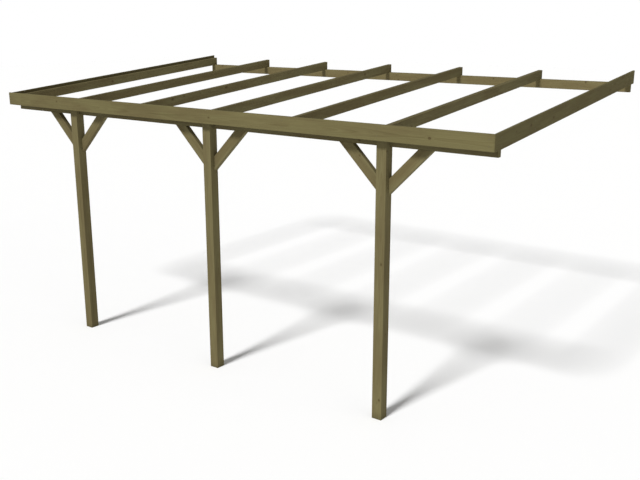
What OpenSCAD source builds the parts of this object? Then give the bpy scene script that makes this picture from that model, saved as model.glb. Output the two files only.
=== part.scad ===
// Lean-to timber carport frame: three front posts, purlin, seven rafters and a wall ledger.
// The origin is the middle of the ledger's back face, the face that lies on the wall.
// +X runs along the wall, +Y points into the wall, +Z is up.

/* [Overall] */
// Length along the wall, over the side boards
frame_len = 5505; // [3600:5:7200]
// Depth from the wall to the front of the fascia
frame_depth = 3138; // [2000:1:4500]
// Clear height from the ground to the underside of the purlin
clear_height = 2252; // [1800:1:3000]
// Slope of the roof, rising to the wall
roof_slope = 5; // [2:0.5:12]

/* [Timbers] */
// Side of the square posts
post_w = 90; // [70:1:140]
// Thickness of the purlin, rafters, ledger and braces
timber_t = 45; // [35:1:70]
// Height of the purlin, rafters, ledger and braces
timber_h = 90; // [70:1:160]
// Flat of the planed-off long edges
arris = 2; // [0.5:0.5:4]

/* [Boards] */
// Thickness of the fascia and side boards
board_t = 21; // [15:1:30]
// Height of the fascia and side boards
board_h = 125; // [100:1:180]
// How far the side boards stand above the rafters
board_up = 30; // [0:1:60]
// How far the fascia stands above the front ends of the side boards
fascia_up = 3; // [0:1:15]

/* [Joints] */
// How far the rafters run past the front of the posts
front_overhang = 47; // [20:1:300]
// Depth of the rafter notch at the front of the purlin
purlin_notch = 26.5; // [8:0.5:40]
// Depth of the rafter seat at the front of the ledger
ledger_notch = 6.5; // [4:0.5:30]
// Gap between a post's tongue and the rafter over it
tongue_gap = 1; // [0.5:0.5:10]
// Leg of the knee braces, down the post and along the purlin
brace_leg = 372; // [250:1:600]

/* [Hidden] */
LAST = 3;
EXTRA = 40;
brace_angle = 45;
rise = tan(roof_slope);
rafter_pitch = (frame_len - 2 * board_t - timber_t) / (2 * LAST);
post_pitch = 2 * rafter_pitch;
inner_len = frame_len - 2 * board_t;

y_board = -frame_depth + board_t;
y_post = y_board + front_overhang;
y_purlin = y_post + post_w - timber_t;
lap = post_w - timber_t;

ledger_top = timber_h / 2;
under_wall = ledger_top - ledger_notch + rise * timber_t;
function under(y) = under_wall + rise * y;
rafter_v = timber_h / cos(roof_slope);
board_v = board_h / cos(roof_slope);
z_purlin = under(y_purlin) + purlin_notch - timber_h;
z_ground = z_purlin - clear_height;
z_fascia = under(y_board) + rafter_v + board_up + fascia_up - board_h;

wood = [0.44, 0.41, 0.27];
board_wood = [0.46, 0.43, 0.28];

// Timber section w by h with planed arrises, its corner at the origin.
module section(w, h) {
    polygon([[arris, 0], [w - arris, 0], [w, arris], [w, h - arris],
             [w - arris, h], [arris, h], [0, h - arris], [0, arris]]);
}

// Timber along +X, its section in Y and Z.
module along_x(len, t, h) {
    rotate([90, 0, 90]) linear_extrude(len) section(t, h);
}

// Timber along +Y, its section in X and Z.
module along_y(len, t, h) {
    translate([0, len, 0]) rotate([90, 0, 0]) linear_extrude(len) section(t, h);
}

// Sloping timber over the full depth, plumb cut behind the fascia and at the wall.
module sloped(x, t, h, below) {
    run = -y_board;
    intersection() {
        translate([x, y_board, under(y_board) - below])
            rotate([roof_slope, 0, 0])
                translate([0, -EXTRA, 0]) along_y(run / cos(roof_slope) + 2 * EXTRA, t, h);
        translate([x - EXTRA, y_board, under(y_board) - 2 * h])
            cube([t + 2 * EXTRA, run, run * rise + 5 * h]);
    }
}

// Rafter n, counted from the middle, notched over the purlin and seated on the ledger.
module rafter(n) {
    x = n * rafter_pitch - timber_t / 2;
    difference() {
        sloped(x, timber_t, timber_h, 0);
        translate([x - 1, y_purlin, z_purlin]) cube([timber_t + 2, timber_t, timber_h]);
        translate([x - 1, -timber_t, ledger_top - timber_h]) cube([timber_t + 2, timber_t + 1, timber_h]);
    }
}

// Post n, with a shoulder under the purlin and a tongue in front of it.
module post(n) {
    tongue_top = under(y_post) - tongue_gap;
    x = n * post_pitch - post_w / 2;
    difference() {
        translate([x, y_post, z_ground])
            linear_extrude(tongue_top - z_ground) section(post_w, post_w);
        translate([x - 1, y_purlin, z_purlin])
            cube([post_w + 2, timber_t + 1, tongue_top - z_purlin + 1]);
    }
}

// Knee brace on post n, side -1 or 1, in line with the purlin.
module brace(n, side) {
    long = brace_leg * sqrt(2) + 2 * timber_h;
    translate([n * post_pitch + side * post_w / 2, y_purlin, z_purlin])
        mirror([side < 0 ? 1 : 0, 0, 0])
            intersection() {
                translate([0, 0, -brace_leg])
                    rotate([0, -brace_angle, 0])
                        translate([-timber_h, 0, 0]) along_x(long, timber_t, timber_h);
                translate([0, 0, -brace_leg - EXTRA])
                    cube([brace_leg + EXTRA, timber_t, brace_leg + EXTRA]);
            }
}

module beam(y, z) {
    translate([-inner_len / 2, y, z]) along_x(inner_len, timber_t, timber_h);
}

module side_board(x) {
    sloped(x, board_t, board_h, board_v - rafter_v - board_up);
}

module post_left() color(wood) post(-1);
module post_middle() color(wood) post(0);
module post_right() color(wood) post(1);
module brace_left_l() color(wood) brace(-1, -1);
module brace_left_r() color(wood) brace(-1, 1);
module brace_middle_l() color(wood) brace(0, -1);
module brace_middle_r() color(wood) brace(0, 1);
module brace_right_l() color(wood) brace(1, -1);
module brace_right_r() color(wood) brace(1, 1);
module purlin() color(wood) beam(y_purlin, z_purlin);
module wall_ledger() color(wood) beam(-timber_t, ledger_top - timber_h);
module rafter_1() color(wood) rafter(-3);
module rafter_2() color(wood) rafter(-2);
module rafter_3() color(wood) rafter(-1);
module rafter_4() color(wood) rafter(0);
module rafter_5() color(wood) rafter(1);
module rafter_6() color(wood) rafter(2);
module rafter_7() color(wood) rafter(3);
module fascia() color(board_wood)
    translate([-frame_len / 2, y_board - board_t, z_fascia]) along_x(frame_len, board_t, board_h);
module side_board_left() color(board_wood) side_board(-frame_len / 2);
module side_board_right() color(board_wood) side_board(frame_len / 2 - board_t);

post_left();
post_middle();
post_right();
brace_left_l();
brace_left_r();
brace_middle_l();
brace_middle_r();
brace_right_l();
brace_right_r();
purlin();
wall_ledger();
rafter_1();
rafter_2();
rafter_3();
rafter_4();
rafter_5();
rafter_6();
rafter_7();
fascia();
side_board_left();
side_board_right();
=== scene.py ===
import math
import random
from collections import namedtuple

import bmesh
import bpy
import numpy as np
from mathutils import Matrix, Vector


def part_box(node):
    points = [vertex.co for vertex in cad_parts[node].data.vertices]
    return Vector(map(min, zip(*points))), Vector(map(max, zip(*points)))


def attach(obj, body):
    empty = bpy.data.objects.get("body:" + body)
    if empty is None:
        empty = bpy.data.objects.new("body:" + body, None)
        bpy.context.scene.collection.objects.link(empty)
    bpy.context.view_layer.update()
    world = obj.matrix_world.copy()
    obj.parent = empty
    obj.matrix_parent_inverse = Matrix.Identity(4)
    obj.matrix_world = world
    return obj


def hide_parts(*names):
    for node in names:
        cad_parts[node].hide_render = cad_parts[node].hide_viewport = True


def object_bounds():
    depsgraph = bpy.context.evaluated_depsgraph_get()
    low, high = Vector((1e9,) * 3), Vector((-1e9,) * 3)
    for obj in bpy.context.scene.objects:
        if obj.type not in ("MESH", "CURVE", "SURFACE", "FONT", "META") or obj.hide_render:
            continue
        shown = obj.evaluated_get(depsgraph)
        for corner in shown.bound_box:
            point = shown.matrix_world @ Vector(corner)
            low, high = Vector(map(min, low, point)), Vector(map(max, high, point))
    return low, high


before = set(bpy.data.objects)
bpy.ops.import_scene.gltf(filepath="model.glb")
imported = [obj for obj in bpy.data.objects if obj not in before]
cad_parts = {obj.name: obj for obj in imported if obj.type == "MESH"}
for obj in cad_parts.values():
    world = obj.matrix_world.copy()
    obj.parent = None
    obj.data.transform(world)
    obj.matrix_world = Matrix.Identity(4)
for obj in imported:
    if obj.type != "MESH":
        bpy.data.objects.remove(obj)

# ---------------------------------------------------------------- the CAD box
cad_box = [[float(x) for x in corner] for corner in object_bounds()]
GROUND = cad_box[0][2]

# ------------------------------------------------- the timbers' shape, metres
ARRIS = 0.0009           # how far each arris of the CAD is rounded further
WAVE = 0.00035           # how far planed faces wander from flat
STRIP = 0.018            # width of the strips a side is divided into
EDGE_STRIP = 0.0045      # the same beside an arris
END_STRIPS = (0.004, 0.012)    # extra cuts beside each end
WELD = 3e-6
ON_SIDE = 3e-5           # how near a side a point is to count as on it
ON_LINE = 2e-5
SLIVER = 2e-5
SHARP = math.radians(33)

# ------------------------------------------------------------ knots and pith
NO_KNOT = (99.0, 99.0, 1.0)
KNOT_REF = 0.05          # distance from the pith where a knot has its radius
KNOT_REACH = 7.0         # how many radii a knot is known of
KNOT_OVAL = 1.4          # how much longer a knot is along the grain than across it
KNOT_TILT = (0.05, 0.35)
KNOT_LEAST = 0.05        # how far out along a knot its width is still taken as growing
FIRST_WHORL = 0.05       # how near the end the first whorl may be
WHORL_THICK = 0.03       # how far its knots stray along the timber
WHORL_TURN = 0.4         # and round it, in radians
WHORL_APART = (0.6, 1.5)    # shares of the usual distance between whorls
TURN = 2 * math.pi
ANY_TURN = (0, 6.28)     # range of a random direction or phase, radians
PITH_WANDER = 0.012
NEAR_PITH = 0.006

Knot = namedtuple("Knot", "along turn size pith_a pith_b tilt")
Crack = namedtuple("Crack", "side across start end width depth path")
Growth = namedtuple("Growth", "spacing sizes most")    # of whorls: metres apart, knot radii, knots in one

# -------------------------------------------------------- colours, linear RGB
LATE_WOOD = (0.42, 0.33, 0.21)      # what the dark part of a ring multiplies the colour by
PORE = (0.030, 0.024, 0.010)
STREAK = (0.055, 0.040, 0.018)
WORN = (0.205, 0.178, 0.088)
SOAKED = (0.070, 0.062, 0.026)
DAMP = (0.058, 0.052, 0.026)
GRIME = (0.066, 0.060, 0.032)
KNOT_PALE, KNOT_DARK = (0.094, 0.067, 0.028), (0.054, 0.037, 0.016)
KNOT_HALO = (0.105, 0.079, 0.034)
BARK = (0.036, 0.026, 0.012)
SAWN_PALE, SAWN_DARK = (0.148, 0.128, 0.058), (0.088, 0.072, 0.033)
END_CHECK = (0.024, 0.019, 0.010)
ZINC_PALE, ZINC_DARK = (0.185, 0.160, 0.096), (0.110, 0.098, 0.064)
TARNISH = (0.055, 0.042, 0.028)
FLOOR_DARK, FLOOR_PALE = (0.945, 0.945, 0.945), (0.95, 0.95, 0.95)
WHITE = (1.0, 1.0, 1.0)

# how light each kind of timber is painted at the frame's middle, and how much lighter a metre to the right;
# each kind's value is partly its own tone and partly painted light and shade, and the rise is a painted light
# gradient
TONE_AND_PAINTED_LIGHT = {
    "post": (1.00, 0.01),
    "brace": (0.95, 0.03),
    "purlin": (0.85, 0.01),
    "wall_ledger": (1.07, 0.02),
    "fascia": (1.00, 0.02),
    "rafter": (0.89, 0.00),
    "side_board": (0.82, 0.02),
}

# how grey a growth ring is, from its pale start to its dark end, and the same for a knot's rings
RING = ((0.0, 0.0), (0.42, 0.10), (0.78, 0.62), (0.93, 1.0), (1.0, 0.0))
KNOT_RING = ((0.0, 0.0), (0.7, 0.6), (1.0, 0.1))


# ================================================================== materials
class Tree:
    """Short calls for building a node tree."""

    def __init__(self, name):
        self.mat = bpy.data.materials.new(name)
        self.mat.use_nodes = True
        self.nodes = self.mat.node_tree.nodes
        self.links = self.mat.node_tree.links
        self.nodes.clear()

    def put(self, socket, value):
        if isinstance(value, bpy.types.NodeSocket):
            self.links.new(value, socket)
        elif value is not None:
            socket.default_value = value

    def add(self, kind, props=None, **inputs):
        node = self.nodes.new(kind)
        for key, value in (props or {}).items():
            setattr(node, key, value)
        for key, value in inputs.items():
            self.put(node.inputs[key.replace("_", " ")], value)
        return node

    def math(self, op, a, b=None, c=None, clamp=False):
        node = self.nodes.new("ShaderNodeMath")
        node.operation = op
        node.use_clamp = clamp
        for socket, value in zip(node.inputs, (a, b, c)):
            self.put(socket, value)
        return node.outputs[0]

    def times(self, a, b):
        return self.math("MULTIPLY", a, b)

    def plus(self, value, other, gain, clamp=False):
        """The value, with gain times the other added."""
        return self.math("MULTIPLY_ADD", other, gain, value, clamp)

    def sway(self, value, noise, gain):
        """The value, moved up and down by the noise."""
        return self.plus(value, self.math("SUBTRACT", noise, 0.5), gain)

    def vmath(self, op, a, b=None, scale=None):
        node = self.nodes.new("ShaderNodeVectorMath")
        node.operation = op
        self.put(node.inputs[0], a)
        if b is not None:
            self.put(node.inputs[1], b)
        if scale is not None:
            self.put(node.inputs["Scale"], scale)
        return node.outputs["Value" if op == "LENGTH" else "Vector"]

    def attribute(self, name):
        return self.add("ShaderNodeAttribute", {"attribute_name": name}).outputs["Vector"]

    def position(self):
        return self.add("ShaderNodeNewGeometry").outputs["Position"]

    def split(self, vector):
        node = self.add("ShaderNodeSeparateXYZ", Vector=vector)
        return node.outputs[0], node.outputs[1], node.outputs[2]

    def join(self, x, y, z):
        return self.add("ShaderNodeCombineXYZ", X=x, Y=y, Z=z).outputs[0]

    def noise(self, vector, scale=1.0, detail=2.0, rough=0.5, distort=0.0):
        return self.add(
            "ShaderNodeTexNoise", Vector=vector, Scale=scale, Detail=detail,
            Roughness=rough, Distortion=distort,
        ).outputs["Fac"]

    def ramp(self, value, low, high, to_low=0.0, to_high=1.0, smooth=True):
        node = self.nodes.new("ShaderNodeMapRange")
        node.interpolation_type = "SMOOTHSTEP" if smooth else "LINEAR"
        node.clamp = True
        for socket, number in zip(node.inputs, (value, low, high, to_low, to_high)):
            self.put(socket, number)
        return node.outputs[0]

    def mix(self, factor, a, b, blend="MIX"):
        node = self.nodes.new("ShaderNodeMix")
        node.data_type = "RGBA"
        node.blend_type = blend
        node.clamp_result = False
        self.put(node.inputs["Factor"], factor)
        self.put(node.inputs["A"], a if isinstance(a, bpy.types.NodeSocket) else (*a, 1.0))
        self.put(node.inputs["B"], b if isinstance(b, bpy.types.NodeSocket) else (*b, 1.0))
        return node.outputs["Result"]

    def lighten(self, colour, gain):
        """The colour times a number that varies over the surface."""
        return self.vmath("SCALE", colour, scale=gain)

    def curve(self, value, stops):
        node = self.nodes.new("ShaderNodeValToRGB")
        band = node.color_ramp
        band.elements[0].position, band.elements[1].position = stops[0][0], stops[-1][0]
        for position, _ in stops[1:-1]:
            band.elements.new(position)
        for element, (_, grey) in zip(band.elements, stops):
            element.color = (grey, grey, grey, 1.0)
        self.put(node.inputs[0], value)
        return node.outputs["Color"]

    def finish(self, colour, roughness, height, distance, **fixed):
        bump = self.add("ShaderNodeBump", Height=height, Distance=distance, Strength=1.0)
        shader = self.nodes.new("ShaderNodeBsdfPrincipled")
        self.put(shader.inputs["Base Color"], colour)
        self.put(shader.inputs["Roughness"], roughness)
        self.put(shader.inputs["Normal"], bump.outputs[0])
        for key, value in fixed.items():
            self.put(shader.inputs[key.replace("_", " ")], value)
        out = self.nodes.new("ShaderNodeOutputMaterial")
        self.links.new(shader.outputs[0], out.inputs[0])


class Timber(Tree):
    """Pressure-treated softwood. sap and heart are its two colours, as linear RGB.

    The mesh carries the grain: "grain" is the place in the log, with x along it and
    y and z from the pith; "fibre" is x along the grain and y across the face; "knot"
    is the place in the nearest knot, in its radii; "where" is the distance to the
    arris, to the end and to the ground; "finish" is 1 on a sawn end, then how light the
    timber is painted there, its own tone with painted light and shade, then how far the face looks up.
    """

    def __init__(self, name, sap, heart, ring_width, streak):
        super().__init__(name)
        self.grain = self.attribute("grain")
        self.fx, self.fy, self.fz = self.split(self.attribute("fibre"))
        self.arris, self.end, self.ground = self.split(self.attribute("where"))
        self.cut, self.tone, self.upward = self.split(self.attribute("finish"))
        self.find_knots()
        self.find_rings(ring_width)
        self.find_fibres()
        colour = self.treated(sap, heart, streak)
        colour = self.pored(colour)
        colour = self.weathered(colour)
        colour = self.knotted(colour)
        colour = self.sawn(colour)
        self.finish(
            colour, self.roughness(), self.height(), 0.0005, Specular_IOR_Level=0.05, Metallic=0.0,
        )

    def grain_noise(self, along, across, detail, rough=0.5, distort=0.0):
        """Noise drawn out along the log."""
        place = self.vmath("MULTIPLY", self.grain, (along, across, across))
        return self.noise(place, 1.0, detail, rough, distort)

    def fibre_noise(self, along, across, detail, rough=0.5, layer=None):
        """Noise drawn out along the fibres of a face."""
        layer = self.fz if layer is None else layer
        place = self.join(self.times(self.fx, along), self.times(self.fy, across), layer)
        return self.noise(place, 1.0, detail, rough)

    def find_knots(self):
        """A knot is a cone from the pith, with a ragged rim at 1."""
        kx, self.ky, kz = self.split(self.attribute("knot"))
        away = self.vmath("LENGTH", self.join(kx, self.ky, 0.0))
        self.knot = self.math("DIVIDE", away, self.math("MAXIMUM", kz, KNOT_LEAST))
        self.ragged = self.noise(self.grain, 140.0, 2.0)
        self.knot_edge = self.sway(self.knot, self.ragged, 0.35)
        self.inside = self.ramp(self.knot_edge, 0.86, 1.06, 1.0, 0.0)
        rise = self.ramp(self.knot_edge, 0.70, 0.98)
        self.rim = self.times(rise, self.ramp(self.knot_edge, 1.02, 1.45, 1.0, 0.0))
        self.pull = self.ramp(self.knot, 0.6, 4.6, 1.0, 0.0)

    def find_rings(self, ring_width):
        """Growth rings round a wandering pith, bulging out round the knots."""
        _, self.gy, self.gz = self.split(self.grain)
        radius = self.vmath("LENGTH", self.join(0.0, self.gy, self.gz))
        radius = self.sway(radius, self.grain_noise(1.3, 10.0, 2.0), 0.016)
        radius = self.sway(radius, self.grain_noise(9.0, 120.0, 2.0), 0.0011)
        self.radius = self.plus(radius, self.pull, -0.010)
        uneven = self.noise(self.join(self.radius, self.fz, 0.0), 95.0, 1.0)
        phase = self.plus(self.math("DIVIDE", self.radius, ring_width), uneven, 2.2)
        ring = self.curve(self.math("FRACT", phase), RING)
        whole = self.math("FLOOR", phase)
        year = self.add("ShaderNodeTexWhiteNoise", {"noise_dimensions": "1D"}, W=whole).outputs["Value"]
        self.ring = self.times(ring, self.ramp(year, 0.0, 1.0, 0.55, 1.0, smooth=False))

    def find_fibres(self):
        """Fibres flow round the knots."""
        bend = self.math("DIVIDE", self.ky, self.math("ADD", self.times(self.knot, self.knot), 0.6))
        self.fy = self.plus(self.fy, self.times(bend, self.pull), -0.006)
        self.fine = self.fibre_noise(7.0, 900.0, 3.0, 0.6)
        self.broad = self.fibre_noise(2.4, 130.0, 3.0, 0.55)
        self.pores = self.fibre_noise(40.0, 1500.0, 1.0)

    def treated(self, sap, heart, streak):
        """The treatment's olive, uneven along the timber, over the rings, lightened and darkened by a tone
        that holds painted light and shade.
        """
        self.patch = self.grain_noise(1.9, 11.0, 3.0, 0.55, 0.4)
        cloud = self.grain_noise(0.8, 4.0, 2.0)
        core = self.ramp(self.radius, 0.02, 0.06, 0.55, 0.0)
        olive = self.math("ADD", self.ramp(self.patch, 0.36, 0.66), core, clamp=True)
        colour = self.mix(olive, sap, heart)
        colour = self.mix(self.times(self.ring, 0.30), colour, LATE_WOOD, "MULTIPLY")
        gain = self.sway(1.0, self.broad, streak)
        gain = self.sway(gain, self.fine, 0.34)
        gain = self.sway(gain, cloud, 0.22)
        # the tone holds painted light and shade as well as the timber's own tone
        return self.lighten(colour, self.times(gain, self.tone))

    def pored(self, colour):
        """Dark pores and the odd mineral streak."""
        colour = self.mix(self.ramp(self.pores, 0.66, 0.80, 0.0, 0.28), colour, PORE)
        line = self.fibre_noise(1.1, 70.0, 1.0, layer=self.math("ADD", self.fz, 7.0))
        return self.mix(self.ramp(line, 0.70, 0.80, 0.0, 0.42), colour, STREAK)

    def weathered(self, colour):
        """Worn arrises, darker ends, damp feet, and grime on what faces up."""
        wear = self.ramp(self.sway(self.arris, self.ragged, 0.006), 0.0, 0.0042, 0.22, 0.0)
        colour = self.mix(wear, colour, WORN)
        soak = self.ramp(self.sway(self.end, self.broad, 0.04), 0.0, 0.016, 0.16, 0.0)
        colour = self.mix(soak, colour, SOAKED)
        damp = self.ramp(self.sway(self.ground, self.patch, 0.08), 0.0, 0.07, 0.38, 0.0)
        colour = self.mix(damp, colour, DAMP)
        dirt = self.ramp(self.math("ADD", self.broad, self.patch), 0.7, 1.3, 0.10, 0.34)
        return self.mix(self.times(self.upward, dirt), colour, GRIME)

    def knotted(self, colour):
        """The knots themselves: rings in rings, and a dark bark rim."""
        rings = self.curve(self.math("FRACT", self.times(self.knot_edge, 3.2)), KNOT_RING)
        wood = self.mix(rings, KNOT_PALE, KNOT_DARK)
        colour = self.mix(self.ramp(self.knot, 1.0, 3.4, 0.42, 0.0), colour, KNOT_HALO)
        colour = self.mix(self.times(self.inside, 0.80), colour, wood)
        return self.mix(self.times(self.rim, 0.60), colour, BARK)

    def sawn(self, colour):
        """Sawn ends: rings across the whole face, and rays of small checks from the pith."""
        turn = self.math("ARCTAN2", self.gz, self.gy)
        arc = self.times(turn, self.math("MULTIPLY_ADD", self.radius, 260.0, 9.0))
        rays = self.noise(self.join(arc, self.times(self.radius, 24.0), self.fx), 1.0, 1.0)
        self.check = self.times(self.ramp(rays, 0.71, 0.75), self.cut)
        gx, _, _ = self.split(self.grain)
        self.kerf = self.noise(self.join(self.times(self.gy, 60.0), self.times(self.gz, 700.0), gx), 1.0, 2.0)
        end = self.mix(self.ring, SAWN_PALE, SAWN_DARK)
        end = self.lighten(end, self.ramp(self.kerf, 0.25, 0.75, 0.82, 1.16, smooth=False))
        colour = self.mix(self.cut, colour, end)
        return self.mix(self.times(self.check, 0.7), colour, END_CHECK)

    def roughness(self):
        rough = self.ramp(self.fine, 0.2, 0.8, 0.72, 0.90, smooth=False)
        rough = self.plus(rough, self.ring, -0.07)
        rough = self.plus(rough, self.inside, -0.12)
        return self.plus(rough, self.cut, 0.12, clamp=True)

    def height(self):
        """What the bump reads: late wood and knots stand up, pores, rims and checks sink."""
        height = self.times(self.ring, 0.45)
        height = self.plus(height, self.fine, 0.55)
        height = self.plus(height, self.pores, -0.25)
        height = self.plus(height, self.inside, 0.50)
        height = self.plus(height, self.rim, -0.70)
        height = self.plus(height, self.check, -1.2)
        return self.plus(height, self.times(self.kerf, self.cut), 0.8)


def zinc():
    """Yellow-passivated steel that has gone dull."""
    t = Tree("dull_zinc")
    place = t.position()
    blotch = t.noise(place, 420.0, 3.0)
    grit = t.noise(place, 2600.0, 2.0)
    colour = t.mix(t.ramp(blotch, 0.35, 0.65), ZINC_PALE, ZINC_DARK)
    colour = t.mix(t.ramp(grit, 0.62, 0.75, 0.0, 0.6), colour, TARNISH)
    rough = t.ramp(blotch, 0.3, 0.7, 0.42, 0.66, smooth=False)
    t.finish(colour, rough, grit, 0.00006, Metallic=0.75)
    return t.mat


def floor_material():
    """A pale, even floor that keeps a faint mottle."""
    t = Tree("studio_floor")
    mottle = t.noise(t.position(), 1.5, 2.0)
    t.finish(t.mix(mottle, FLOOR_DARK, FLOOR_PALE), 0.9, mottle, 0.0001, Specular_IOR_Level=0.0)
    return t.mat


# ================================================================ the timbers
def unit(v):
    return v / np.linalg.norm(v)


def waves(rng, count, longest, shortest):
    """A smooth random line, about -1 to 1, as a function of arrays."""
    parts = [
        (rng.uniform(0.4, 1.0), TURN / rng.uniform(shortest, longest), rng.uniform(*ANY_TURN))
        for _ in range(count)
    ]
    total = sum(part[0] for part in parts)

    def line(x, shift=0.0):
        return sum(a * np.sin(k * x + f + shift) for a, k, f in parts) / total

    return line


def cad_solid(node):
    """The CAD node's mesh, welded, with its triangles joined into whole faces."""
    bm = bmesh.new()
    bm.from_mesh(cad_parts[node].data)
    bmesh.ops.remove_doubles(bm, verts=bm.verts, dist=WELD)
    bmesh.ops.dissolve_limit(
        bm, angle_limit=math.radians(0.5), use_dissolve_boundaries=False,
        verts=bm.verts, edges=bm.edges, delimit=set(),
    )
    bm.normal_update()
    return bm


def cross_cut(bm, origin, axis, places, faces=None):
    """Cuts the mesh's faces with planes across axis. Nothing is taken away."""
    for place in places:
        if faces is None:
            geom = bm.verts[:] + bm.edges[:] + bm.faces[:]
        else:
            chosen = [f for f in bm.faces if faces(f)]
            edges = {e for f in chosen for e in f.edges}
            verts = {v for f in chosen for v in f.verts}
            geom = list(verts) + list(edges) + chosen
        bmesh.ops.bisect_plane(
            bm, geom=geom, dist=1e-6,
            plane_co=Vector(origin + axis * place), plane_no=Vector(axis),
        )


def read(items, name, width, kind=np.float32):
    """One value of every vertex, face or corner, as rows of an array."""
    values = np.empty(len(items) * width, dtype=kind)
    items.foreach_get(name, values)
    return values.reshape(-1, width).astype(float) if width > 1 else values


def sharpen(mesh, angle):
    """Smooth shading, with sharp edges where faces meet at more than angle."""
    mesh.polygons.foreach_set("use_smooth", np.ones(len(mesh.polygons), dtype=bool))
    bm = bmesh.new()
    bm.from_mesh(mesh)
    for edge in bm.edges:
        if len(edge.link_faces) == 2 and edge.calc_face_angle(0) > angle:
            edge.smooth = False
    bm.to_mesh(mesh)
    bm.free()


class Stick:
    """One piece of timber, made from its CAD node. A place in it is along u, then across a and b."""

    def __init__(self, node, thin, slot, seed, pith, step):
        self.node, self.slot, self.pith, self.step = node, slot, pith, step
        self.rng = random.Random(seed)
        self.bm = cad_solid(node)
        longest = max(self.bm.edges, key=lambda e: e.calc_length())
        self.u = self.facing(unit(np.array(longest.verts[1].co - longest.verts[0].co, dtype=float)))
        self.a = np.array(thin, dtype=float)
        self.b = self.facing(unit(np.cross(self.u, self.a)))
        self.axes = np.stack([self.u, self.a, self.b])
        places = np.array([v.co[:] for v in self.bm.verts])
        self.origin = (places.min(0) + places.max(0)) / 2
        local = self.local(places)
        low, high = local.min(0), local.max(0)
        self.origin = self.origin + (low + high) / 2 @ self.axes
        self.half = (high - low) / 2
        self.wander = [waves(self.rng, 4, 6.0, 1.2), waves(self.rng, 4, 6.0, 1.2)]
        self.offset = self.rng.uniform(0.0, 400.0)
        # the kind's tone, partly painted light and shade, and a painted light gradient that grows to the
        # right
        self.tone, self.rise = next(pair for kind, pair in TONE_AND_PAINTED_LIGHT.items() if node.startswith(kind))
        self.knots = []
        self.cracks = []

    @staticmethod
    def facing(axis):
        """The axis, turned so that its largest part is positive."""
        return -axis if axis[np.argmax(abs(axis))] < 0 else axis

    def local(self, places):
        return (places - self.origin) @ self.axes.T

    def pith_at(self, u):
        return [p + PITH_WANDER * line(u) for p, line in zip(self.pith, self.wander)]

    def side_frame(self, side):
        """For "+a", "-a", "+b" or "-b": its axis, the other axis, sign, normal and the way across it."""
        axis = {"a": 1, "b": 2}[side[1]]
        sign = 1.0 if side[0] == "+" else -1.0
        return axis, 3 - axis, sign, sign * self.axes[axis], self.axes[3 - axis]

    # -- knots and drying checks
    def knot_on(self, side, u, across, size):
        """A knot that comes out on a side of the timber, u along it, size metres in radius there."""
        axis, _, sign, _, _ = self.side_frame(side)
        flat = sign * self.half[axis]
        a, b = (flat, across) if axis == 1 else (across, flat)
        pa, pb = (float(x) for x in self.pith_at(np.array(u)))
        turn = math.atan2(b - pb, a - pa)
        reach = max(math.hypot(a - pa, b - pb), NEAR_PITH)
        tilt = self.rng.uniform(*KNOT_TILT)
        self.knots.append(Knot(u - tilt * reach, turn, size * KNOT_REF / reach, pa, pb, tilt))

    def whorls(self, growth):
        """Knots in whorls along the whole timber, as on a pine."""
        u = -self.half[0] + self.rng.uniform(FIRST_WHORL, growth.spacing)
        while u < self.half[0]:
            turn = self.rng.uniform(*ANY_TURN)
            count = self.rng.randint(1, growth.most)
            for i in range(count):
                angle = turn + i * TURN / count + self.rng.uniform(-WHORL_TURN, WHORL_TURN)
                along = u + self.rng.uniform(-WHORL_THICK, WHORL_THICK)
                pa, pb = (float(x) for x in self.pith_at(np.array(along)))
                size = self.rng.uniform(*growth.sizes)
                self.knots.append(Knot(along, angle, size, pa, pb, self.rng.uniform(*KNOT_TILT)))
            u += growth.spacing * self.rng.uniform(*WHORL_APART)

    def crack(self, side, across, start, end, width, depth):
        """A drying check on a side: where across it, and from where to where along it."""
        self.cracks.append(Crack(side, across, start, end, width, depth, waves(self.rng, 3, 0.5, 0.12)))

    # -- the mesh
    def build(self):
        self.round_arrises()
        self.divide()
        mesh = bpy.data.meshes.new(self.node)
        self.bm.normal_update()
        self.bm.to_mesh(mesh)
        self.bm.free()
        places = read(mesh.vertices, "co", 3)
        q = self.local(places)
        self.write_grain(mesh, places, q)
        moved = self.wander_faces(q)
        for crack in self.cracks:
            self.open_crack(crack, q, moved)
        places += moved @ self.axes
        mesh.vertices.foreach_set("co", places.astype(np.float32).ravel())
        mesh.update()
        sharpen(mesh, SHARP)
        obj = bpy.data.objects.new("timber_" + self.node, mesh)
        bpy.context.scene.collection.objects.link(obj)
        obj.modifiers.new("weigh", "WEIGHTED_NORMAL").keep_sharp = True
        obj.data.materials.append(WOOD[self.slot])
        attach(obj, "root")
        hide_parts(self.node)

    def round_arrises(self):
        """The CAD's arrises along the timber are small chamfers. Their edges are rounded."""
        def soft(edge):
            along = abs(np.dot(np.array(edge.verts[1].co - edge.verts[0].co), self.u))
            return (len(edge.link_faces) == 2 and 0.5 < edge.calc_face_angle(0) < 1.05
                    and along > 0.9 * edge.calc_length())

        bmesh.ops.bevel(
            self.bm, geom=[e for e in self.bm.edges if soft(e)], offset=ARRIS,
            offset_type="OFFSET", segments=2, profile=0.5, affect="EDGES", clamp_overlap=True,
        )
        self.bm.normal_update()

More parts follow.
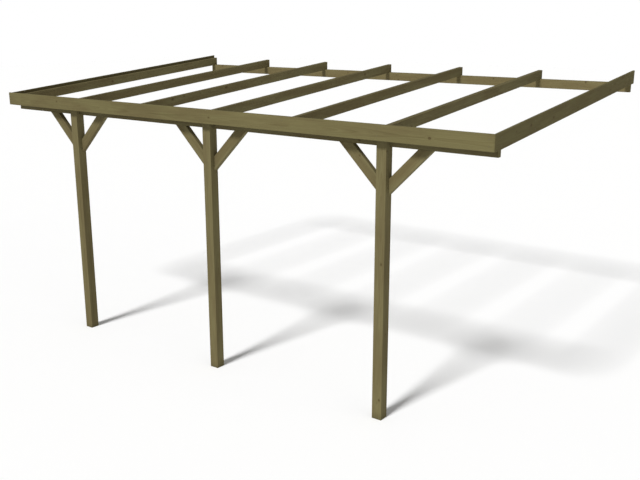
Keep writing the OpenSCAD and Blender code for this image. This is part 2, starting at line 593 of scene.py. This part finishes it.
    def divide(self):
        """Cuts the faces into small ones, closer at drying checks and ends."""
        bm = self.bm
        for half, axis in zip(self.half[1:], self.axes[1:]):
            count = max(2, int(round(2 * half / STRIP)))
            inner = half - EDGE_STRIP
            cross_cut(bm, self.origin, axis, np.linspace(-inner, inner, count + 1))
        for crack in self.cracks:
            _, _, _, normal, axis = self.side_frame(crack.side)
            outward = Vector(normal)
            lines = (crack.across - crack.width / 2, crack.across, crack.across + crack.width / 2)
            cross_cut(bm, self.origin, axis, lines, faces=lambda f: f.normal.dot(outward) > 0.99)
        long = self.half[0]
        count = int(round(2 * long / self.step))
        cross_cut(bm, self.origin, self.u, np.linspace(-long, long, count + 1)[1:-1])
        for inset in END_STRIPS:
            cross_cut(bm, self.origin, self.u, (inset - long, long - inset))
        bmesh.ops.dissolve_degenerate(bm, dist=SLIVER, edges=bm.edges)

    def wander_faces(self, q):
        """Planed faces wander a little, inwards only."""
        moved = np.zeros_like(q)
        for axis in (1, 2):
            line = waves(self.rng, 5, 0.9, 0.14)
            other = waves(self.rng, 3, 0.12, 0.04)
            sign = np.sign(q[:, axis])
            outer = np.clip(np.abs(q[:, axis]) / self.half[axis], 0, 1) ** 3
            depth = 0.5 + 0.35 * line(q[:, 0], 2.0 * sign) + 0.15 * other(q[:, 3 - axis])
            moved[:, axis] -= sign * outer * WAVE * np.clip(depth, 0, 1)
        return moved

    def open_crack(self, crack, q, moved):
        """Sinks the check's middle line and draws its two edges together at the ends."""
        axis, other, sign, _, _ = self.side_frame(crack.side)
        half_width = crack.width / 2
        on = np.abs(q[:, axis] - sign * self.half[axis]) < ON_SIDE
        t = (q[:, 0] - crack.start) / (crack.end - crack.start)
        inside = on & (t > 0) & (t < 1)
        arch = np.sin(np.pi * np.clip(t, 0, 1))
        gape = np.clip(1.6 * arch ** 0.7, 0, 1) * (0.75 + 0.25 * crack.path(q[:, 0] * 2.3))
        bent = inside & (np.abs(q[:, other] - crack.across) < ON_LINE)
        moved[bent, axis] -= sign * crack.depth * gape[bent]
        for edge in (-1, 1):
            lip = on & (np.abs(q[:, other] - crack.across - edge * half_width) < ON_LINE)
            wide, shut = lip & inside, lip & ~inside
            moved[wide, other] -= (edge * half_width * (1 - gape) * 0.9)[wide]
            moved[shut, other] -= edge * half_width * 0.9
            bent |= wide
        moved[bent, other] += (0.0035 * crack.path(q[:, 0]) * arch)[bent]

    # -- what the material reads
    def write_grain(self, mesh, places, q):
        """Writes the grain and its knots to the mesh, a value for each face's corner."""
        vert = read(mesh.loops, "vertex_index", 1, np.int32)
        sizes = read(mesh.polygons, "loop_total", 1, np.int32)
        face = np.repeat(np.arange(len(sizes)), sizes)
        centre = self.local(read(mesh.polygons, "center", 3))
        n = (read(mesh.polygons, "normal", 3) @ self.axes.T)[face]
        p, c = q[vert], centre[face]
        wide = np.abs(n[:, 1]) >= np.abs(n[:, 2])
        cut = np.abs(n[:, 0]) > 0.5
        pa, pb = self.pith_at(p[:, 0])
        side = np.where(wide, np.where(n[:, 1] > 0, 0.0, 3.1), np.where(n[:, 2] > 0, 6.2, 9.3))
        da, db = (self.half[i] - np.sign(c[:, i]) * p[:, i] for i in (1, 2))
        near_a = self.half[1] - np.abs(c[:, 1]) < self.half[2] - np.abs(c[:, 2])
        arris = np.where(cut, np.where(near_a, da, db), np.where(wide, db, da))
        end = self.half[0] - np.sign(c[:, 0]) * p[:, 0]
        # painted light: lighter towards the right, as if more light fell there
        tone = self.tone + self.rise * places[vert][:, 0]
        upward = np.where(cut, 0, np.clip(n @ self.axes[:, 2], 0, 1))
        for name, values in (
            ("grain", (p[:, 0] + self.offset, p[:, 1] - pa, p[:, 2] - pb)),
            ("fibre", (p[:, 0] + self.offset, np.where(wide, p[:, 2], p[:, 1]), side + self.offset)),
            ("knot", self.nearest_knots(p, centre, face, wide)),
            ("where", (arris, end, places[vert][:, 2] - GROUND)),
            ("finish", (cut.astype(float), tone, upward)),
        ):
            layer = mesh.attributes.new(name, "FLOAT_VECTOR", "CORNER")
            layer.data.foreach_set("vector", np.stack(values, -1).astype(np.float32).ravel())

    def nearest_knots(self, p, centre, face, wide):
        """Each corner's place in its face's nearest knot: along, across and out from the pith."""
        knot = np.tile(np.array(NO_KNOT), (len(p), 1))
        best = np.full(len(centre), KNOT_REACH)
        which = np.full(len(centre), -1)
        for i, one in enumerate(self.knots):
            r = self.in_knot(one, centre)
            away = np.hypot(r[:, 0], r[:, 1]) / np.maximum(r[:, 2], KNOT_LEAST)
            away[r[:, 2] < 0.08] = 1e3
            closer = away < best
            best[closer] = away[closer]
            which[closer] = i
        chosen = which[face]
        for i, one in enumerate(self.knots):
            rows = chosen == i
            knot[rows] = self.in_knot(one, p[rows])
        knot[(chosen >= 0) & wide, 1] *= -1.0
        return knot.T

    @staticmethod
    def in_knot(knot, x):
        """Places in the timber, in the knot's own terms."""
        cos, sin = math.cos(knot.turn), math.sin(knot.turn)
        a, b = x[:, 1] - knot.pith_a, x[:, 2] - knot.pith_b
        out = a * cos + b * sin
        along = (x[:, 0] - knot.along - knot.tilt * out) / (knot.size * KNOT_OVAL)
        return np.stack([along, (b * cos - a * sin) / knot.size, out / KNOT_REF], -1)


# =================================================================== fixings
HEAD_SIDES = 24
STAR = [0.46 if (i // 2) % 2 else 0.34 for i in range(HEAD_SIDES)]    # the recess, in radii
RECESS = ((0.92, -0.34, 0.0), (1.0, -0.02, 0.0), (1.0, 0.055, 0.05))   # share of the star, height, margin
STAR_MEAN = 0.444
HEAD = ((1.42, 0.075), (2.0, 0.06), (2.22, 0.02), (2.25, -0.35))       # distance in star means, height
SMALL_HEAD, MIDDLE_HEAD, LARGE_HEAD = 0.0040, 0.0045, 0.0050           # radii in metres


def screw_head(bm, place, normal, radius, turn):
    """A countersunk head with a star recess, its rim just proud of the wood."""
    normal = Vector(normal).normalized()
    side = normal.orthogonal().normalized()
    up = normal.cross(side)
    profile = [([share * s + margin for s in STAR], height) for share, height, margin in RECESS]
    profile += [([distance * STAR_MEAN] * HEAD_SIDES, height) for distance, height in HEAD]
    rings = []
    for reaches, height in profile:
        ring = []
        for i, reach in enumerate(reaches):
            angle = turn + TURN * i / HEAD_SIDES
            way = side * math.cos(angle) + up * math.sin(angle)
            ring.append(bm.verts.new(Vector(place) + (way * reach + normal * height) * radius))
        rings.append(ring)
    bm.faces.new(rings[0])
    bm.faces.new(list(reversed(rings[-1])))
    for low, high in zip(rings, rings[1:]):
        for i in range(HEAD_SIDES):
            j = (i + 1) % HEAD_SIDES
            bm.faces.new((low[i], high[i], high[j], low[j]))


def screws(name, spots, radius):
    """One piece of screw heads, from pairs of place and the way the head faces."""
    rng = random.Random(name)
    bm = bmesh.new()
    for place, normal in spots:
        screw_head(bm, place, normal, radius, rng.uniform(0, 1.0))
    bmesh.ops.recalc_face_normals(bm, faces=bm.faces)
    mesh = bpy.data.meshes.new(name)
    bm.to_mesh(mesh)
    bm.free()
    sharpen(mesh, math.radians(40))
    obj = bpy.data.objects.new(name, mesh)
    bpy.context.scene.collection.objects.link(obj)
    obj.data.materials.append(STEEL)
    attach(obj, "root")


# ============================================================ build the timbers
WOOD = {
    "post_timber": Timber("treated_post", (0.153, 0.132, 0.0625), (0.131, 0.108, 0.051), 0.0046, 0.40).mat,
    "frame_timber": Timber("treated_frame", (0.163, 0.142, 0.068), (0.137, 0.111, 0.052), 0.0042, 0.40).mat,
    "board": Timber("treated_board", (0.147, 0.129, 0.058), (0.130, 0.108, 0.049), 0.0037, 0.36).mat,
}
STEEL = zinc()

X, Y = (1, 0, 0), (0, 1, 0)
POSTS = ("post_left", "post_middle", "post_right")
BRACES = tuple(f"brace_{post}_{side}" for post in ("left", "middle", "right") for side in "lr")
RAFTERS = tuple(f"rafter_{i + 1}" for i in range(7))
POST_GROWTH = Growth(0.85, (0.002, 0.005), 2)
RAFTER_GROWTH = Growth(0.60, (0.002, 0.005), 3)
BRACE_GROWTH = Growth(0.60, (0.003, 0.006), 2)
BEAM_GROWTH = Growth(0.50, (0.003, 0.007), 3)
FASCIA_GROWTH = Growth(0.80, (0.002, 0.004), 2)
LEFT_GROWTH = Growth(0.60, (0.003, 0.006), 2)
RIGHT_GROWTH = Growth(0.90, (0.002, 0.004), 2)
POST_STEP, BRACE_STEP, RAFTER_STEP, LONG_STEP = 0.024, 0.02, 0.03, 0.034    # metres between cuts
POST_PITH = ((0.012, -0.010), (-0.018, 0.008), (0.006, 0.016))
RAFTER_PITH = (0.03, -0.012, 0.02, -0.03)
PITH_ON_RIGHT = (1, 4, 6)       # rafters, counted from 0, whose pith is past their right side
# knots that show in the photo: the side, then along it, across it and radius, in metres
POST_MARKS = ((), (), (("-b", 0.175, 0.018, 0.006), ("-b", -0.98, 0.022, 0.006)))
RAFTER_MARKS = {
    0: (("+a", -0.24, 0.0, 0.009),),
    2: (("+a", -1.04, 0.024, 0.008), ("+a", -0.26, 0.020, 0.010)),
    3: (("+a", 1.01, 0.008, 0.007),),
}
FASCIA_MARKS = (("-a", 2.25, -0.006, 0.007), ("-a", 0.10, -0.006, 0.005), ("-a", -1.965, 0.012, 0.005))
RIGHT_MARKS = (
    ("+a", -0.955, 0.010, 0.008), ("+a", -0.51, -0.012, 0.006), ("+a", 0.025, -0.03, 0.006),
    ("+a", 0.845, -0.012, 0.007), ("+a", 1.21, 0.042, 0.006),
)
sticks = {}


def stick(node, thin, slot, seed, pith, growth, step, marks=()):
    """Sets up a timber. thin is its thinner way across, and marks are knots in known places."""
    s = Stick(node, thin, slot, seed, pith, step)
    for mark in marks:
        s.knot_on(*mark)
    s.whorls(growth)
    sticks[node] = s


def set_up_timbers():
    for i, node in enumerate(POSTS):
        stick(node, X, "post_timber", 11 + i, POST_PITH[i], POST_GROWTH, POST_STEP, POST_MARKS[i])
    for i, node in enumerate(RAFTERS):
        pith = (0.034 if i in PITH_ON_RIGHT else -0.034, RAFTER_PITH[i % 4])
        stick(node, X, "frame_timber", 31 + i, pith, RAFTER_GROWTH, RAFTER_STEP, RAFTER_MARKS.get(i, ()))
    for i, node in enumerate(BRACES):
        pith = (0.030 * (-1) ** i, 0.02 * (-1) ** (i // 2))
        stick(node, Y, "frame_timber", 51 + i, pith, BRACE_GROWTH, BRACE_STEP)
    stick("purlin", Y, "frame_timber", 71, (0.04, 0.02), BEAM_GROWTH, LONG_STEP)
    stick("wall_ledger", Y, "frame_timber", 72, (-0.045, -0.01), BEAM_GROWTH, LONG_STEP)
    stick("fascia", Y, "board", 81, (0.052, -0.012), FASCIA_GROWTH, LONG_STEP, FASCIA_MARKS)
    stick("side_board_left", X, "board", 91, (0.05, 0.01), LEFT_GROWTH, RAFTER_STEP)
    stick("side_board_right", X, "board", 92, (-0.055, -0.014), RIGHT_GROWTH, RAFTER_STEP, RIGHT_MARKS)


# drying checks where timber of this section opens: side, across, start, end, width, depth
CRACKS = (
    ("post_left", "-b", 0.006, -0.55, 0.32, 0.0020, 0.009),
    ("post_left", "+a", -0.012, -1.02, -0.42, 0.0016, 0.007),
    ("post_middle", "-b", -0.010, 0.05, 0.83, 0.0019, 0.009),
    ("post_middle", "-a", 0.008, -0.90, -0.10, 0.0020, 0.009),
    ("post_right", "+a", 0.004, -0.62, 0.20, 0.0021, 0.009),
    ("post_right", "+b", -0.008, -0.30, 0.70, 0.0020, 0.010),
    ("rafter_2", "+a", 0.006, 0.35, 0.92, 0.0014, 0.006),
    ("rafter_3", "-a", -0.008, -1.20, -0.66, 0.0014, 0.006),
    ("rafter_5", "+a", -0.005, -0.15, 0.44, 0.0014, 0.006),
    ("rafter_6", "-a", 0.010, 0.55, 1.18, 0.0014, 0.006),
    ("purlin", "+a", 0.004, -1.60, -0.85, 0.0015, 0.007),
    ("purlin", "+a", -0.007, 1.10, 1.72, 0.0015, 0.007),
    ("wall_ledger", "-a", -0.006, 0.35, 1.05, 0.0014, 0.006),
)

set_up_timbers()
for node, *check in CRACKS:
    sticks[node].crack(*check)
for s in sticks.values():
    s.build()


# ======================================================= screws, where such a kit has them
RAFTER_END_PAIR = (-0.026, 0.024)                     # up the fascia from its middle
BOARD_PAIR = (-0.034, 0.030)                          # up a side board from its middle
BOARD_PAIRS, BOARD_LOW, BOARD_HIGH = 6, 0.10, 0.07    # how many, and how far from its two ends
BOARD_STRAY = 0.002
RAFTER_ASIDE = 0.004                                  # from a rafter's middle line
BRACE_PAIR, BRACE_INSET = (-0.011, 0.011), 0.115
POST_PAIR = ((-0.024, -0.044), (0.024, -0.022))       # across the post, and down from its top
LEDGER_STAGGER = 0.012


def box(node):
    low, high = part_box(node)
    return np.array(low), np.array(high)


def centre(node):
    low, high = box(node)
    return (low + high) / 2


def fascia_screws():
    """Two into the end of each rafter."""
    front = box("fascia")[0][1]
    middle = centre("fascia")[2]
    for node in RAFTERS:
        for dz in RAFTER_END_PAIR:
            yield (centre(node)[0], front, middle + dz), (0, -1, 0)


def side_board_screws():
    """Six pairs along each board, not quite in line."""
    for node, out in (("side_board_left", -1), ("side_board_right", 1)):
        s = sticks[node]
        for k, u in enumerate(np.linspace(BOARD_LOW - s.half[0], s.half[0] - BOARD_HIGH, BOARD_PAIRS)):
            stray = BOARD_STRAY * (k % 3 - 1)
            for db in BOARD_PAIR:
                yield s.origin + s.u * u + s.b * (db + stray) + s.a * out * s.half[1], s.a * out


def rafter_screws():
    """One down through each rafter over the purlin and the ledger."""
    for node in RAFTERS:
        s = sticks[node]
        for beam in ("purlin", "wall_ledger"):
            u = (centre(beam)[1] - s.origin[1]) / s.u[1]
            yield s.origin + s.u * u + s.b * s.half[2] + s.a * RAFTER_ASIDE, s.b


def brace_screws():
    """Two at each end, up through the underside."""
    for node in BRACES:
        s = sticks[node]
        down = s.b if s.b[2] < 0 else -s.b
        for u in (BRACE_INSET - s.half[0], s.half[0] - BRACE_INSET):
            for da in BRACE_PAIR:
                yield s.origin + s.u * u + down * s.half[2] + s.a * da, down


def post_screws():
    """Two through the back of the purlin into each post's tongue."""
    back = box("purlin")[1][1]
    for node in POSTS:
        top = box(node)[1][2]
        for dx, dz in POST_PAIR:
            yield (centre(node)[0] + dx, back, top + dz), (0, 1, 0)


def ledger_screws():
    """One into the wall in each bay, above and below the middle in turn."""
    front = box("wall_ledger")[0][1]
    for i, (left, right) in enumerate(zip(RAFTERS, RAFTERS[1:])):
        bay = (box(left)[1][0] + box(right)[0][0]) / 2
        yield (bay, front, LEDGER_STAGGER * (-1) ** i), (0, -1, 0)


screws("screws_fascia", fascia_screws(), SMALL_HEAD)
screws("screws_side_boards", side_board_screws(), SMALL_HEAD)
screws("screws_rafters", rafter_screws(), LARGE_HEAD)
screws("screws_braces", brace_screws(), MIDDLE_HEAD)
screws("screws_posts", post_screws(), LARGE_HEAD)
screws("screws_ledger", ledger_screws(), LARGE_HEAD)


# ============================================================== floor, lights
FLOOR_HALF = 45.0
FLOOR_DROP = 0.0004                            # so that the feet don't lie in the floor's face
SUN_WAY = Vector((0.0348, 0.6804, -0.7320))    # the way the sunlight travels
KEY_STRENGTH, KEY_WIDTH = 3.22, 11.5           # the widths are in degrees
FILL_WAY = Vector((-0.95, 0.10, -0.25))
FILL_STRENGTH, FILL_WIDTH = 0.50, 60.0
FILL_COLOUR = (1.0, 0.99, 0.92)
SKY_STRENGTH = 0.26


def floor():
    bm = bmesh.new()
    bmesh.ops.create_grid(bm, x_segments=12, y_segments=12, size=FLOOR_HALF)
    for v in bm.verts:
        v.co.z = GROUND - FLOOR_DROP
    mesh = bpy.data.meshes.new("studio_floor")
    bm.to_mesh(mesh)
    bm.free()
    obj = bpy.data.objects.new("studio_floor", mesh)
    bpy.context.scene.collection.objects.link(obj)
    mesh.materials.append(floor_material())


def sun(name, way, strength, width, colour):
    """A far lamp; way is where its light goes, and width how wide it looks, in degrees."""
    lamp = bpy.data.lights.new(name, "SUN")
    lamp.energy = strength
    lamp.color = colour
    lamp.angle = math.radians(width)
    light = bpy.data.objects.new(name, lamp)
    light.rotation_euler = way.to_track_quat("-Z", "Y").to_euler()
    bpy.context.scene.collection.objects.link(light)


def background(nodes, strength):
    node = nodes.new("ShaderNodeBackground")
    node.inputs["Color"].default_value = (*WHITE, 1.0)
    node.inputs["Strength"].default_value = strength
    return node.outputs[0]


def sky():
    """A dim white sky that the camera sees as white."""
    world = bpy.data.worlds.new("studio")
    bpy.context.scene.world = world
    world.use_nodes = True
    nodes, links = world.node_tree.nodes, world.node_tree.links
    nodes.clear()
    path = nodes.new("ShaderNodeLightPath")
    seen = nodes.new("ShaderNodeMath")
    seen.operation = "MAXIMUM"
    blend = nodes.new("ShaderNodeMixShader")
    out = nodes.new("ShaderNodeOutputWorld")
    links.new(path.outputs["Is Camera Ray"], seen.inputs[0])
    links.new(path.outputs["Is Transmission Ray"], seen.inputs[1])
    links.new(seen.outputs[0], blend.inputs[0])
    links.new(background(nodes, SKY_STRENGTH), blend.inputs[1])
    links.new(background(nodes, 1.0), blend.inputs[2])
    links.new(blend.outputs[0], out.inputs[0])


floor()
sun("key", SUN_WAY, KEY_STRENGTH, KEY_WIDTH, WHITE)
sun("fill", FILL_WAY, FILL_STRENGTH, FILL_WIDTH, FILL_COLOUR)
sky()

# ==================================================================== camera
LENS, SENSOR = 47.127, 36.0                   # millimetres
EYE = (5.1192, -8.4276, 0.6678)
LOOK_DOWN, HEADING = 14.964, 35.941           # degrees below level, and left of +Y

camera = bpy.data.cameras.new("camera")
camera.sensor_width = SENSOR
camera.lens = LENS
camera.clip_end = 200.0
eye = bpy.data.objects.new("camera", camera)
eye.location = EYE
eye.rotation_euler = (math.radians(90 - LOOK_DOWN), 0.0, math.radians(HEADING))
bpy.context.scene.collection.objects.link(eye)
bpy.context.scene.camera = eye
bpy.context.scene.view_settings.view_transform = "Standard"
